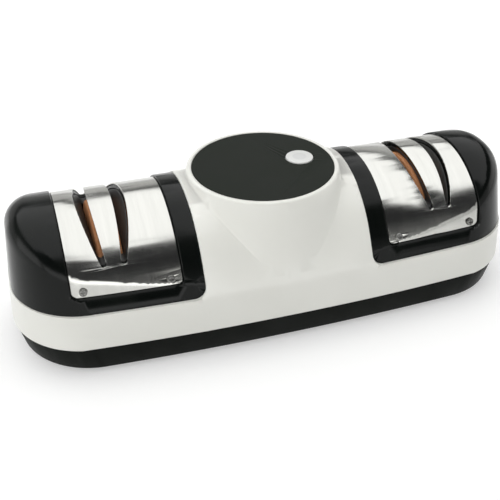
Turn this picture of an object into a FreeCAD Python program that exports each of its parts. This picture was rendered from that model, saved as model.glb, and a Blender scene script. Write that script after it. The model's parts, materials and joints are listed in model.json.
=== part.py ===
import FreeCAD, Part
import math
import os

# Electric knife sharpener with two grinding stages, a motor between them and a push button on top.
# Millimetres. Z is up, X runs along the length, the front is at -Y.
# The origin is the middle of the footprint, at the height of the surface it stands on.

# Outer form
LENGTH = 237.0
DEPTH = 87.4
BELT_BOW_R = 1400.0
WAIST_BOW_R = 1110.0
CORNER_R = 35.0
FOOT_PROUD = 1.5
BASE_HEIGHT = 12.7
BELT_HEIGHT = 16.8
ARCH_TOP_Z = 65.2
ARCH_TOP_SHARE = 0.4805
ARCH_SIDE_SHARE = 1.373
ARCH_FOOT_SHARE = 0.229
ARCH_JOIN_DEG = 57.0
ARCH_OVERSIZE = 0.15
END_DRAFT_DEG = 4.75
SIDE_DRAFT_DEG = 1.0
CORNER_TAPER = 0.09
BASE_LENGTH = 230.6
BASE_DEPTH = 82.6
BASE_EDGE_R = 2.0
BASE_REVEAL = 0.5
BASE_WALL = 3.5
MODULE_INNER_X = 38.2
MODULE_CORNER_R = 5.0
MODULE_REVEAL = 0.67
MODULE_LEDGE = 1.5
MODULE_END_REVEAL = 0.15
MODULE_DRAFT_DEG = 14.5
MODULE_PLAN_R = 32.0
MODULE_TAPER = 0.115
MODULE_CREASE_R = 10.0

# Walls and general clearances
WALL = 2.5
FLOOR = 1.8
PART_GAP = 0.15
FIT_GAP = 0.3
RUN_GAP = 0.04
BULKHEAD = 2.0

# Turret, disc and button
TURRET_TOP_Z = 67.2
TURRET_TOP_R = 34.2
TURRET_SLOPE = 0.235
TURRET_FOOT_Z = 30.0
TURRET_LIP_R = 1.2
TURRET_FLOOR = 1.8
DISC_R = 32.0
DISC_THICK = 1.6
BUTTON_X = 18.0
BUTTON_Y = 1.4
BUTTON_R = 6.3
BUTTON_PROUD = 0.5
BUTTON_TRAVEL = 1.5
BUTTON_FLANGE_R = 7.4
BUTTON_FLANGE = 1.2
BUTTON_STEM_R = 3.0
BUTTON_EDGE_R = 0.6

# Guard plates and blade slots
PLATE_INNER_X = 47.4
PLATE_WIDTH = 46.0
PLATE_BOTTOM_Z = 38.4
PLATE_THICK = 0.6
PLATE_SUNK = 0.86
PLATE_CORNER_R = 2.0
PLATE_MARGIN = 0.5
SLOT_CENTRE_X = 74.35
SLOT_SPACING = 8.1
SLOT_BOTTOM_Z = 48.4
SLOT_BOTTOM_W = 2.2
SLOT_TOP_W = 6.0
SLOT_RISE = 17.0
SLOT_LEAN_DEG = 14.2
SLOT_LAP = 0.3
PLATE_SCREW_INSET = 4.8
PLATE_SCREW_UP = 2.3
PLATE_SCREW_HEAD_R = 1.7
PLATE_SCREW_HEAD = 0.9
PLATE_SCREW_R = 1.0
PLATE_SCREW_LENGTH = 2.5

# Grinding wheels and shaft
AXIS_Z = 31.5
SHAFT_R = 3.0
SHAFT_LENGTH = 204.0
WHEEL_R = 27.5
WHEEL_WIDTH = 10.5
WHEEL_EDGE = 0.8
HUB_R = 5.0
HUB_FLANGE_R = 10.0
HUB_FLANGE = 2.0
NUT_SIZE = 13.0
NUT_THICK = 4.0
BUSH_R = 5.0
BUSH_LENGTH = 6.0
BUSH_CENTRE_X = 98.0

# Motor
CAN_LENGTH = 52.0
CAN_R = 21.0
CAN_WALL = 1.4
BELL_THICK = 3.0
BELL_BOSS_R = 7.0
BELL_BOSS_LENGTH = 2.0
BELL_VENTS = 6
BELL_VENT_R = 2.5
MOTOR_BUSH_R = 4.5
MAGNET_THICK = 3.3
MAGNET_LENGTH = 34.0
MAGNET_SPAN_DEG = 120.0
AIR_GAP = 0.6
CORE_CENTRE_X = -3.0
CORE_LENGTH = 30.0
CORE_SLOTS = 10
CORE_SLOT_DEPTH = 7.0
CORE_SLOT_W = 2.4
WINDING_LENGTH = 5.0
COMMUTATOR_R = 5.5
COMMUTATOR_LENGTH = 8.0
COMMUTATOR_BARS = 10
BAR_DEPTH = 0.7
BAR_GAP = 0.5
BRUSH_W = 4.0
BRUSH_LENGTH = 7.0
HOLDER_WALL = 0.6
FAN_R = 15.0
FAN_LENGTH = 4.0
FAN_BLADES = 8
FAN_BLADE = 0.8
FAN_PITCH_DEG = 35.0
SADDLE_X = 22.0
SADDLE_W = 4.0
RING_THICK = 1.6
STRAP_THICK = 1.6
STRAP_EAR = 7.0

# Switch
BOARD_THICK = 1.2
BOARD_LENGTH = 30.0
BOARD_WIDTH = 22.0
BOARD_POST_R = 2.2
BOARD_SCREW_R = 0.9
BOARD_SCREW_HEAD_R = 1.9
BOARD_SCREW_HEAD = 1.0
BOARD_SCREW_LENGTH = 4.0
BOARD_SCREW_INSET = 3.0
SWITCH_SIZE = 13.0
SWITCH_HEIGHT = 3.8
PLUNGER_R = 2.5
PLUNGER_LENGTH = 3.2
SPRING_R = 4.6
SPRING_WIRE = 0.5
SPRING_TURNS = 2.5
SPRING_GAP = 0.03

# Base fittings
FOOT_R = 6.0
FOOT_X = 90.0
FOOT_Y = 26.0
FOOT_PEG_R = 2.0
FOOT_PEG = 3.0
POST_R = 3.5
END_POST_X = 103.0
END_POST_Y = 22.0
CENTRE_POST_X = 31.0
CENTRE_POST_Y = 34.0
BASE_BOSS = 3.0
SCREW_R = 1.4
SCREW_HEAD_R = 2.8
SCREW_HEAD = 1.6
SCREW_LENGTH = 12.0
VENT_COUNT = 7
VENT_W = 2.0
VENT_PITCH = 5.0
VENT_LENGTH = 22.0
GLAND_Z = 8.4
GLAND_R = 4.4
GLAND_BORE_R = 3.05
GLAND_FLANGE_R = 5.6
GLAND_FLANGE = 1.2
GLAND_LENGTH = 9.0
TERMINAL_X = 10.0
TERMINAL_BACK = 16.7
TERMINAL_LENGTH = 14.0
TERMINAL_WIDTH = 9.0
TERMINAL_HEIGHT = 7.2
TERMINAL_PITCH = 4.0
LEAD_R = 0.9
LEAD_BEND_R = 3.0
LEAD_RUN = 6.0

# Blade guides
GUIDE_CHEEK = 2.0
GUIDE_FLANGE_Z = 40.0
GUIDE_FLANGE = 2.0
GUIDE_LENGTH = 32.0
GUIDE_WIDTH = 32.0
GUIDE_SCREW_X = 12.6
GUIDE_SCREW_Y = 27.0
CHAMBER_GAP = 0.7
LIP_HEIGHT = 4.0
LIP_THICK = 1.6

# Sizes and places that follow from these
BASE_Z = FOOT_PROUD
BELT_Z = BASE_Z + BASE_HEIGHT
MODULE_Z = BELT_Z + BELT_HEIGHT
FLOOR_Z = BASE_Z + FLOOR
SOLE_Z = BASE_Z + FLOOR / 3
SKY_Z = ARCH_TOP_Z + 15.0
RECESS_INSET = PLATE_SUNK + PLATE_THICK
ROOF_INSET = RECESS_INSET + FLOOR
TERMINAL_Y = DEPTH / 2 - TERMINAL_BACK
DISC_SEAT_Z = TURRET_TOP_Z - DISC_THICK
TURRET_ROOF_Z = DISC_SEAT_Z - TURRET_FLOOR
FAR = LENGTH
ARCH_TOP_R = ARCH_TOP_SHARE * DEPTH
ARCH_SIDE_R = ARCH_SIDE_SHARE * DEPTH
ARCH_FOOT_R = ARCH_FOOT_SHARE * DEPTH
WAIST_LENGTH = LENGTH / 2 - BELT_HEIGHT * math.tan(math.radians(END_DRAFT_DEG))
WAIST_DEPTH = DEPTH / 2 - BELT_HEIGHT * math.tan(math.radians(SIDE_DRAFT_DEG))
MODULE_TOP_Z = ARCH_TOP_Z + 1.0
ARCH_WALL_Y = DEPTH / 2 + ARCH_OVERSIZE

BOSS_TOP_Z = FLOOR_Z + BASE_BOSS
SCREW_SEAT_Z = BASE_Z + SCREW_HEAD + FIT_GAP
PILLAR_SCREW_Y = BUSH_R + SCREW_HEAD_R
PILLAR_HALF = PILLAR_SCREW_Y + SCREW_HEAD_R
GLAND_INNER_Y = DEPTH / 2 - BASE_REVEAL - GLAND_LENGTH

STRAP_R = CAN_R + RING_THICK
STRAP_SCREW_Y = STRAP_R + STRAP_THICK + STRAP_EAR / 2
SADDLE_HALF = STRAP_R + STRAP_THICK + STRAP_EAR
CAN_HALF = CAN_LENGTH / 2
BELL_END = CAN_HALF + BELL_THICK
BOSS_END = BELL_END + BELL_BOSS_LENGTH
MAGNET_R = CAN_R - CAN_WALL
CORE_R = MAGNET_R - MAGNET_THICK - AIR_GAP
CORE_END = CORE_CENTRE_X + CORE_LENGTH / 2
COMMUTATOR_X = CORE_END + WINDING_LENGTH + AIR_GAP
BRUSH_X = COMMUTATOR_X + COMMUTATOR_LENGTH / 2
FAN_X = BOSS_END + AIR_GAP

FLANGE_TOP_Z = DISC_SEAT_Z - PART_GAP
FLANGE_Z = FLANGE_TOP_Z - BUTTON_FLANGE
SPRING_LENGTH = BUTTON_TRAVEL + SPRING_WIRE * (SPRING_TURNS + 1)
SWITCH_TOP_Z = FLANGE_Z - SPRING_LENGTH
BOARD_TOP_Z = SWITCH_TOP_Z - SWITCH_HEIGHT
PLUNGER_TOP_Z = SWITCH_TOP_Z + BUTTON_TRAVEL + FIT_GAP
PLUNGER_Z = PLUNGER_TOP_Z - PLUNGER_LENGTH


def point(x, y, z):
    return FreeCAD.Vector(x, y, z)


def block(x0, x1, y0, y1, z0, z1):
    return Part.makeBox(x1 - x0, y1 - y0, z1 - z0, point(x0, y0, z0))


def rod_x(r, x0, x1, y=0.0, z=AXIS_Z):
    return Part.makeCylinder(r, x1 - x0, point(x0, y, z), point(1, 0, 0))


def rod_y(r, y0, y1, x, z):
    return Part.makeCylinder(r, y1 - y0, point(x, y0, z), point(0, 1, 0))


def rod_z(r, z0, z1, x, y):
    return Part.makeCylinder(r, z1 - z0, point(x, y, z0), point(0, 0, 1))


def mirror_x(shape):
    return shape.mirror(point(0, 0, 0), point(1, 0, 0))


def mirror_y(shape):
    return shape.mirror(point(0, 0, 0), point(0, 1, 0))


def turned(shape, degrees, centre, axis):
    copy = shape.copy()
    copy.rotate(centre, axis, degrees)
    return copy


def around_axis(shape, count):
    # Copies spread evenly round the axis of the wheels.
    return [turned(shape, 360 / count * i, point(0, 0, AXIS_Z), point(1, 0, 0)) for i in range(count)]


def slab_y(wire):
    # A flat outline in the XZ plane, made solid right through the depth.
    face = Part.Face(wire)
    face.translate(point(0, -DEPTH, 0))
    return face.extrude(point(0, 2 * DEPTH, 0))


# Plan outline: long sides bowed, four round corners, short straight ends
def plan_wire(half_length, half_depth, corner, bow, z):
    reach = half_length - corner
    drop = math.sqrt((bow - corner) ** 2 - reach ** 2) - (bow - half_depth)
    swing = math.atan2(reach, bow - half_depth + drop)
    tx = bow * math.sin(swing)
    ty = bow * math.cos(swing) - (bow - half_depth)
    turn = (math.pi / 2 + swing) / 2
    mx = reach + corner * math.cos(math.pi / 2 - turn)
    my = drop + corner * math.sin(math.pi / 2 - turn)

    def p(x, y):
        return point(x, y, z)

    edges = [
        Part.Arc(p(-tx, -ty), p(0, -half_depth), p(tx, -ty)).toShape(),
        Part.Arc(p(tx, -ty), p(mx, -my), p(half_length, -drop)).toShape(),
        Part.makeLine(p(half_length, -drop), p(half_length, drop)),
        Part.Arc(p(half_length, drop), p(mx, my), p(tx, ty)).toShape(),
        Part.Arc(p(tx, ty), p(0, half_depth), p(-tx, ty)).toShape(),
        Part.Arc(p(-tx, ty), p(-mx, my), p(-half_length, drop)).toShape(),
        Part.makeLine(p(-half_length, drop), p(-half_length, -drop)),
        Part.Arc(p(-half_length, -drop), p(-mx, -my), p(-tx, -ty)).toShape(),
    ]
    return Part.Wire(edges)


def plan_solid(inset, z0, z1):
    # The drafted side walls of the white body, moved inwards by inset, more bowed towards the top.
    def ring(z):
        rise = z - BELT_Z
        length = LENGTH / 2 - inset - rise * math.tan(math.radians(END_DRAFT_DEG))
        depth = DEPTH / 2 - inset - rise * math.tan(math.radians(SIDE_DRAFT_DEG))
        bow = 1 / (1 / BELT_BOW_R + (1 / WAIST_BOW_R - 1 / BELT_BOW_R) * rise / BELT_HEIGHT)
        return plan_wire(length, depth, CORNER_R - inset - CORNER_TAPER * rise, bow, z)
    return Part.makeLoft([ring(z0), ring(z1)], True, True)


def module_size(inset, z):
    # Half length, half depth and corner radius of a grinding module's walls at one height.
    rise = z - MODULE_Z
    length = WAIST_LENGTH - MODULE_END_REVEAL - inset - rise * math.tan(math.radians(END_DRAFT_DEG))
    depth = WAIST_DEPTH - MODULE_LEDGE - inset - rise * math.tan(math.radians(MODULE_DRAFT_DEG))
    return length, depth, MODULE_PLAN_R - inset - MODULE_TAPER * rise


def module_walls(inset):
    rings = []
    for z in (BELT_Z, MODULE_TOP_Z):
        rings.append(plan_wire(*module_size(inset, z), WAIST_BOW_R, z))
    return Part.makeLoft(rings, True, True)


def module_wall_y(inset, z, x):
    # Half depth of a grinding module's wall at one height and place along the length.
    length, depth, corner = module_size(inset, z)
    reach = length - corner
    middle = math.sqrt((WAIST_BOW_R - corner) ** 2 - reach ** 2) - (WAIST_BOW_R - depth)
    touch = WAIST_BOW_R * reach / (WAIST_BOW_R - corner)
    if abs(x) < touch:
        return depth - WAIST_BOW_R + math.sqrt(WAIST_BOW_R ** 2 - x ** 2)
    return middle + math.sqrt(corner ** 2 - (abs(x) - reach) ** 2)


# Arch section: round crown, flatter sides and a soft foot that runs into the side wall
def arch_wire(inset, x):
    join = math.radians(ARCH_JOIN_DEG)
    crown_z = ARCH_TOP_Z - ARCH_TOP_R
    side_y = (ARCH_TOP_R - ARCH_SIDE_R) * math.sin(join)
    side_z = crown_z + (ARCH_TOP_R - ARCH_SIDE_R) * math.cos(join)
    foot_y = ARCH_WALL_Y - ARCH_FOOT_R
    foot_z = side_z + math.sqrt((ARCH_SIDE_R - ARCH_FOOT_R) ** 2 - (foot_y - side_y) ** 2)
    lean = math.atan2(foot_z - side_z, foot_y - side_y)
    crown = ARCH_TOP_R - inset
    side = ARCH_SIDE_R - inset
    foot = ARCH_FOOT_R - inset

    def p(y, z):
        return point(x, y, z)

    def on(cy, cz, r, angle, sign):
        return p(sign * (cy + r * math.cos(angle)), cz + r * math.sin(angle))

    top = math.pi / 2 - join

    def half(sign):
        a = p(sign * (ARCH_WALL_Y - inset), 0.0)
        b = p(sign * (ARCH_WALL_Y - inset), foot_z)
        c = on(side_y, side_z, side, lean, sign)
        d = on(side_y, side_z, side, top, sign)
        line = Part.makeLine(a, b)
        low = Part.Arc(b, on(foot_y, foot_z, foot, lean / 2, sign), c).toShape()
        mid = Part.Arc(c, on(side_y, side_z, side, (lean + top) / 2, sign), d).toShape()
        return [line, low, mid], a, d

    left, left_foot, left_top = half(-1)
    right, right_foot, right_top = half(1)
    cap = Part.Arc(left_top, p(0, crown_z + crown), right_top).toShape()
    floor = Part.makeLine(right_foot, left_foot)
    return Part.Wire(left + [cap] + list(reversed(right)) + [floor])


def arch_bowed(inset):
    # The arch of the white body follows the bow of its side walls.
    stations = [-1.1, -0.55, 0.0, 0.55, 1.1]
    wires = []
    for share in stations:
        x = share * LENGTH / 2
        squeeze = FreeCAD.Matrix()
        squeeze.scale(1.0, 1.0 - x ** 2 / WAIST_BOW_R / DEPTH, 1.0)
        wires.append(arch_wire(inset, x).transformGeometry(squeeze))
    return Part.makeLoft(wires, True, False)


def arch_y(inset, z):
    # Half depth of the arch above its foot.
    join = math.radians(ARCH_JOIN_DEG)
    crown_z = ARCH_TOP_Z - ARCH_TOP_R
    side_y = (ARCH_TOP_R - ARCH_SIDE_R) * math.sin(join)
    side_z = crown_z + (ARCH_TOP_R - ARCH_SIDE_R) * math.cos(join)
    if z > crown_z + ARCH_TOP_R * math.cos(join):
        return math.sqrt((ARCH_TOP_R - inset) ** 2 - (z - crown_z) ** 2)
    return side_y + math.sqrt((ARCH_SIDE_R - inset) ** 2 - (z - side_z) ** 2)


# Form of the grinding modules: a straight arch inside leaning walls, with a soft crease between them
def module_form(inset):
    face = Part.Face(arch_wire(MODULE_REVEAL + inset, 0.0))
    form = face.extrude(point(FAR, 0, 0)).common(module_walls(inset))
    crease = []
    for edge in form.Edges:
        box = edge.BoundBox
        if box.ZMin > MODULE_Z and box.XMax > 1 and box.YLength > 0.01:
            crease.append(edge)
    return form.makeFillet(MODULE_CREASE_R - inset, crease)


def module_y(inset, z, x):
    return min(arch_y(MODULE_REVEAL + inset, z), module_wall_y(inset, z, x))


def round_corner(x, z, r, side):
    # Arc in a lower corner of an XZ outline, from low to high; side is -1 on the left, 1 on the right.
    mid = r * (1 - math.sqrt(0.5))
    low = point(x - side * r, 0, z)
    high = point(x, 0, z + r)
    return Part.Arc(low, point(x - side * mid, 0, z + mid), high).toShape(), low, high


def module_zone(gap):
    # Everything above the belt and outside the white arch, with a round inner corner.
    x = MODULE_INNER_X + gap
    arc, low, high = round_corner(x, MODULE_Z, MODULE_CORNER_R, -1)
    edges = [
        Part.makeLine(point(FAR, 0, MODULE_Z), low),
        arc,
        Part.makeLine(high, point(x, 0, SKY_Z)),
        Part.makeLine(point(x, 0, SKY_Z), point(FAR, 0, SKY_Z)),
        Part.makeLine(point(FAR, 0, SKY_Z), point(FAR, 0, MODULE_Z)),
    ]
    return slab_y(Part.Wire(edges))


def plate_zone(margin):
    # Front view of the guard plate: a strip over the arch with round lower corners.
    x0 = PLATE_INNER_X - margin
    x1 = PLATE_INNER_X + PLATE_WIDTH + margin
    z0 = PLATE_BOTTOM_Z - margin
    left, left_low, left_high = round_corner(x0, z0, PLATE_CORNER_R + margin, -1)
    right, right_low, right_high = round_corner(x1, z0, PLATE_CORNER_R + margin, 1)
    edges = [
        Part.makeLine(point(x0, 0, SKY_Z), left_high),
        left,
        Part.makeLine(left_low, right_low),
        right,
        Part.makeLine(right_high, point(x1, 0, SKY_Z)),
        Part.makeLine(point(x1, 0, SKY_Z), point(x0, 0, SKY_Z)),
    ]
    return slab_y(Part.Wire(edges))


# Blade slots: two per stage, leaning away from each other towards the top
def slot_edge(side, z, edge, lap):
    # Point on the slot's edge away from the wheel (edge = 1) or next to it (edge = -1).
    rise = z - SLOT_BOTTOM_Z
    centre = SLOT_SPACING / 2 + rise * math.tan(math.radians(SLOT_LEAN_DEG))
    half = (SLOT_BOTTOM_W + (SLOT_TOP_W - SLOT_BOTTOM_W) * rise / SLOT_RISE) / 2
    return point(SLOT_CENTRE_X + side * (centre + edge * (half + lap)), 0, z)


def slot_prism(side, lap):
    z = SLOT_BOTTOM_Z + SLOT_BOTTOM_W / 2
    low_far = slot_edge(side, z, 1, lap)
    low_near = slot_edge(side, z, -1, lap)
    lowest = point((low_far.x + low_near.x) / 2, 0, SLOT_BOTTOM_Z - lap)
    top_far = slot_edge(side, SKY_Z, 1, lap)
    top_near = slot_edge(side, SKY_Z, -1, lap)
    edges = [
        Part.Arc(low_near, lowest, low_far).toShape(),
        Part.makeLine(low_far, top_far),
        Part.makeLine(top_far, top_near),
        Part.makeLine(top_near, low_near),
    ]
    return slab_y(Part.Wire(edges))


def slots(lap):
    return [slot_prism(side, lap) for side in (-1, 1)]


# Screws of the guard plates, square to the plate at each corner
def plate_screw_places():
    places = []
    z = PLATE_BOTTOM_Z + PLATE_SCREW_UP
    for x in (PLATE_INNER_X + PLATE_SCREW_INSET, PLATE_INNER_X + PLATE_WIDTH - PLATE_SCREW_INSET):
        y = module_y(PLATE_SUNK, z, x)
        slope_x = module_y(PLATE_SUNK, z, x + 0.5) - module_y(PLATE_SUNK, z, x - 0.5)
        slope_z = module_y(PLATE_SUNK, z + 0.5, x) - module_y(PLATE_SUNK, z - 0.5, x)
        for side in (-1, 1):
            normal = point(-slope_x, side, -slope_z)
            places.append((point(x, side * y, z), normal.normalize()))
    return places


def plate_screw(place, normal):
    seat = place + normal * RUN_GAP
    head = Part.makeCylinder(PLATE_SCREW_HEAD_R, PLATE_SCREW_HEAD, seat, normal)
    crown = seat + normal * PLATE_SCREW_HEAD
    rim = [edge for edge in head.Edges
           if isinstance(edge.Curve, Part.Circle) and edge.Curve.Center.distanceToPoint(crown) < PART_GAP]
    head = head.makeFillet(PLATE_SCREW_HEAD * 0.6, rim)
    shank = Part.makeCylinder(PLATE_SCREW_R, PLATE_SCREW_LENGTH, seat - normal * PLATE_SCREW_LENGTH, normal)
    recess_depth = PLATE_SCREW_HEAD * 0.6
    recess_w = PLATE_SCREW_HEAD_R * 0.22
    recess_l = PLATE_SCREW_HEAD_R * 1.2
    bar = Part.makeBox(recess_l, recess_w, PLATE_SCREW_HEAD, point(-recess_l / 2, -recess_w / 2, 0))
    cross = bar.fuse(turned(bar, 90, point(0, 0, 0), point(0, 0, 1)))
    cross.Placement = FreeCAD.Placement(seat + normal * (PLATE_SCREW_HEAD - recess_depth),
                                        FreeCAD.Rotation(point(0, 0, 1), normal))
    return head.fuse(shank).cut(cross).removeSplitter()


def plate_screw_holes(r):
    holes = []
    for place, normal in plate_screw_places():
        reach = PLATE_SCREW_LENGTH + RUN_GAP
        holes.append(Part.makeCylinder(r, 2 * reach, place - normal * reach, normal))
    return holes


# Shells of the housing
def base_ring(inset, z):
    share = (z - BASE_Z) / BASE_HEIGHT
    length = (BASE_LENGTH + (LENGTH - 2 * BASE_REVEAL - BASE_LENGTH) * share) / 2
    depth = (BASE_DEPTH + (DEPTH - 2 * BASE_REVEAL - BASE_DEPTH) * share) / 2
    return plan_wire(length - inset, depth - inset, CORNER_R - BASE_REVEAL - inset, BELT_BOW_R, z)


def base_outer():
    body = Part.makeLoft([base_ring(0.0, BASE_Z), base_ring(0.0, BELT_Z)], True, True)
    bottom = [edge for edge in body.Edges if edge.BoundBox.ZMax < BASE_Z + 0.01]
    return body.makeFillet(BASE_EDGE_R, bottom)


def lip_ring(inset, z0, z1):
    return plan_solid(inset, z0, z1).cut(plan_solid(inset + LIP_THICK, z0, z1))


def four_places(x, y, centre=(0.0, 0.0)):
    return [(centre[0] + sx * x, centre[1] + sy * y) for sx in (-1, 1) for sy in (-1, 1)]


def module_post_places():
    return four_places(END_POST_X, END_POST_Y)


def centre_post_places():
    return four_places(CENTRE_POST_X, CENTRE_POST_Y)


def guide_post_places():
    left = four_places(GUIDE_SCREW_X, GUIDE_SCREW_Y, (-SLOT_CENTRE_X, 0.0))
    return left + four_places(GUIDE_SCREW_X, GUIDE_SCREW_Y, (SLOT_CENTRE_X, 0.0))


def foot_places():
    return four_places(FOOT_X, FOOT_Y)


def cap_screw_places():
    return four_places(BUSH_CENTRE_X, PILLAR_SCREW_Y)


def strap_screw_places():
    return four_places(SADDLE_X, STRAP_SCREW_Y)


def base_shell():
    body = base_outer()
    hollow = Part.makeLoft([base_ring(BASE_WALL, FLOOR_Z), base_ring(BASE_WALL, BELT_Z)], True, True)
    body = body.cut(hollow)
    body = body.fuse(lip_ring(WALL + FIT_GAP, BELT_Z - BASE_WALL, BELT_Z + LIP_HEIGHT))
    adds = []
    for x, y in module_post_places() + centre_post_places():
        adds.append(rod_z(POST_R, SOLE_Z, BOSS_TOP_Z, x, y))
    for x, y in guide_post_places():
        adds.append(rod_z(POST_R, SOLE_Z, GUIDE_FLANGE_Z, x, y))
    for x, y in foot_places():
        adds.append(rod_z(FOOT_PEG_R + WALL, SOLE_Z, BASE_Z + FOOT_PEG + FLOOR, x, y))
    for side in (-1, 1):
        bush = side * BUSH_CENTRE_X
        adds.append(block(bush - BUSH_LENGTH / 2, bush + BUSH_LENGTH / 2, -PILLAR_HALF, PILLAR_HALF,
                          SOLE_Z, AXIS_Z))
        saddle = side * SADDLE_X
        adds.append(block(saddle - SADDLE_W / 2, saddle + SADDLE_W / 2, -SADDLE_HALF, SADDLE_HALF,
                          SOLE_Z, AXIS_Z))
    body = body.multiFuse(adds)
    cuts = [rod_x(BUSH_R, -FAR, -FAR / 3), rod_x(BUSH_R, FAR / 3, FAR), rod_x(STRAP_R, -FAR / 4, FAR / 4)]
    for x, y in module_post_places() + centre_post_places():
        cuts.append(rod_z(SCREW_R + PART_GAP, BASE_Z - 1, BOSS_TOP_Z + 1, x, y))
        cuts.append(rod_z(SCREW_HEAD_R + PART_GAP, BASE_Z - 1, SCREW_SEAT_Z, x, y))
    for x, y in foot_places():
        cuts.append(rod_z(FOOT_PEG_R, BASE_Z - 1, BASE_Z + FOOT_PEG, x, y))
    for x, y in guide_post_places():
        cuts.append(rod_z(SCREW_R, GUIDE_FLANGE_Z - SCREW_LENGTH, GUIDE_FLANGE_Z + 1, x, y))
    for x, y in cap_screw_places():
        cuts.append(rod_z(SCREW_R, AXIS_Z - SCREW_LENGTH / 2, AXIS_Z + 1, x, y))
    for x, y in strap_screw_places():
        cuts.append(rod_z(SCREW_R, AXIS_Z - SCREW_LENGTH, AXIS_Z + 1, x, y))
    for i in range(VENT_COUNT):
        x = (i - (VENT_COUNT - 1) / 2) * VENT_PITCH
        cuts.append(block(x - VENT_W / 2, x + VENT_W / 2, -VENT_LENGTH / 2, VENT_LENGTH / 2,
                          BASE_Z - 1, FLOOR_Z + 1))
    cuts.append(rod_y(GLAND_R, GLAND_INNER_Y, DEPTH, 0, GLAND_Z))
    return body.cut(Part.makeCompound(cuts))


def turret_solid(inset, top):
    low = TURRET_TOP_R + TURRET_SLOPE * (TURRET_TOP_Z - TURRET_FOOT_Z) - inset
    high = TURRET_TOP_R + TURRET_SLOPE * (TURRET_TOP_Z - top) - inset
    return Part.makeCone(low, high, top - TURRET_FOOT_Z, point(0, 0, TURRET_FOOT_Z))


def centre_shell():
    cone = turret_solid(0.0, TURRET_TOP_Z)
    rim = [edge for edge in cone.Edges if edge.BoundBox.ZMin > TURRET_TOP_Z - 0.1]
    cone = cone.makeFillet(TURRET_LIP_R, rim)
    body = arch_bowed(0.0).common(plan_solid(0.0, BELT_Z, ARCH_TOP_Z + 1)).fuse(cone)
    zone = module_zone(0.0)
    body = body.cut(Part.makeCompound([zone, mirror_x(zone)]))
    hollow = arch_bowed(WALL).common(plan_solid(WALL, BELT_Z - 1, ARCH_TOP_Z))
    hollow = hollow.fuse(turret_solid(WALL, TURRET_ROOF_Z))
    walls = []
    for side in (-1, 1):
        x = side * (MODULE_INNER_X - BULKHEAD / 2)
        wall = block(x - BULKHEAD / 2, x + BULKHEAD / 2, -DEPTH, DEPTH, BELT_Z + LIP_HEIGHT + 1, SKY_Z)
        walls.append(wall)
    for x, y in centre_post_places():
        walls.append(rod_z(POST_R, BOSS_TOP_Z, SKY_Z, x, y))
    for x, y in board_screw_places():
        walls.append(rod_z(BOARD_POST_R, BOARD_TOP_Z, SKY_Z, x, y))
    posts = Part.makeCompound([post.common(hollow) for post in walls])
    body = body.cut(hollow).fuse(posts)
    low_posts = [rod_z(POST_R, BOSS_TOP_Z, BELT_Z, x, y) for x, y in centre_post_places()]
    body = body.multiFuse(low_posts)
    cuts = [
        rod_z(DISC_R + FIT_GAP, DISC_SEAT_Z, SKY_Z, 0, 0),
        rod_z(BUTTON_FLANGE_R + FIT_GAP, TURRET_ROOF_Z - 1, SKY_Z, BUTTON_X, BUTTON_Y),
        rod_x(BUSH_R + 1, -MODULE_INNER_X - 1, MODULE_INNER_X + 1),
    ]
    for x, y in centre_post_places():
        cuts.append(rod_z(SCREW_R, BOSS_TOP_Z - 1, BOSS_TOP_Z + SCREW_LENGTH, x, y))
    for x, y in board_screw_places():
        cuts.append(rod_z(BOARD_SCREW_R, BOARD_TOP_Z - 1, BOARD_TOP_Z + BOARD_SCREW_LENGTH, x, y))
    return body.cut(Part.makeCompound(cuts))


def module_shell():
    outer = module_form(0.0).common(module_zone(PART_GAP))
    hollow = module_form(ROOF_INSET)
    posts = []
    for x, y in module_post_places():
        if x > 0:
            posts.append(rod_z(POST_R, BELT_Z, SKY_Z, x, y).common(hollow))
            posts.append(rod_z(POST_R, BOSS_TOP_Z, BELT_Z, x, y))
    inner_edge = MODULE_INNER_X + PART_GAP + MODULE_CORNER_R
    lip = lip_ring(WALL + FIT_GAP, MODULE_Z - LIP_HEIGHT, MODULE_Z + WALL)
    lip = lip.common(block(inner_edge, FAR, -DEPTH, DEPTH, 0, SKY_Z))
    body = outer.cut(hollow).fuse(lip).multiFuse(posts)
    recess = plate_zone(PLATE_MARGIN).cut(module_form(RECESS_INSET))
    cuts = [recess] + slots(SLOT_LAP) + plate_screw_holes(PLATE_SCREW_R)
    for x, y in module_post_places():
        cuts.append(rod_z(SCREW_R, BOSS_TOP_Z - 1, BOSS_TOP_Z + SCREW_LENGTH, x, y))
    for cutter in cuts:
        body = body.cut(cutter)
    return body


def guard_plate():
    sheet = module_form(PLATE_SUNK).cut(module_form(RECESS_INSET)).common(plate_zone(0.0))
    for cutter in slots(0.0) + plate_screw_holes(PLATE_SCREW_R + PART_GAP):
        sheet = sheet.cut(cutter)
    return sheet


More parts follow.
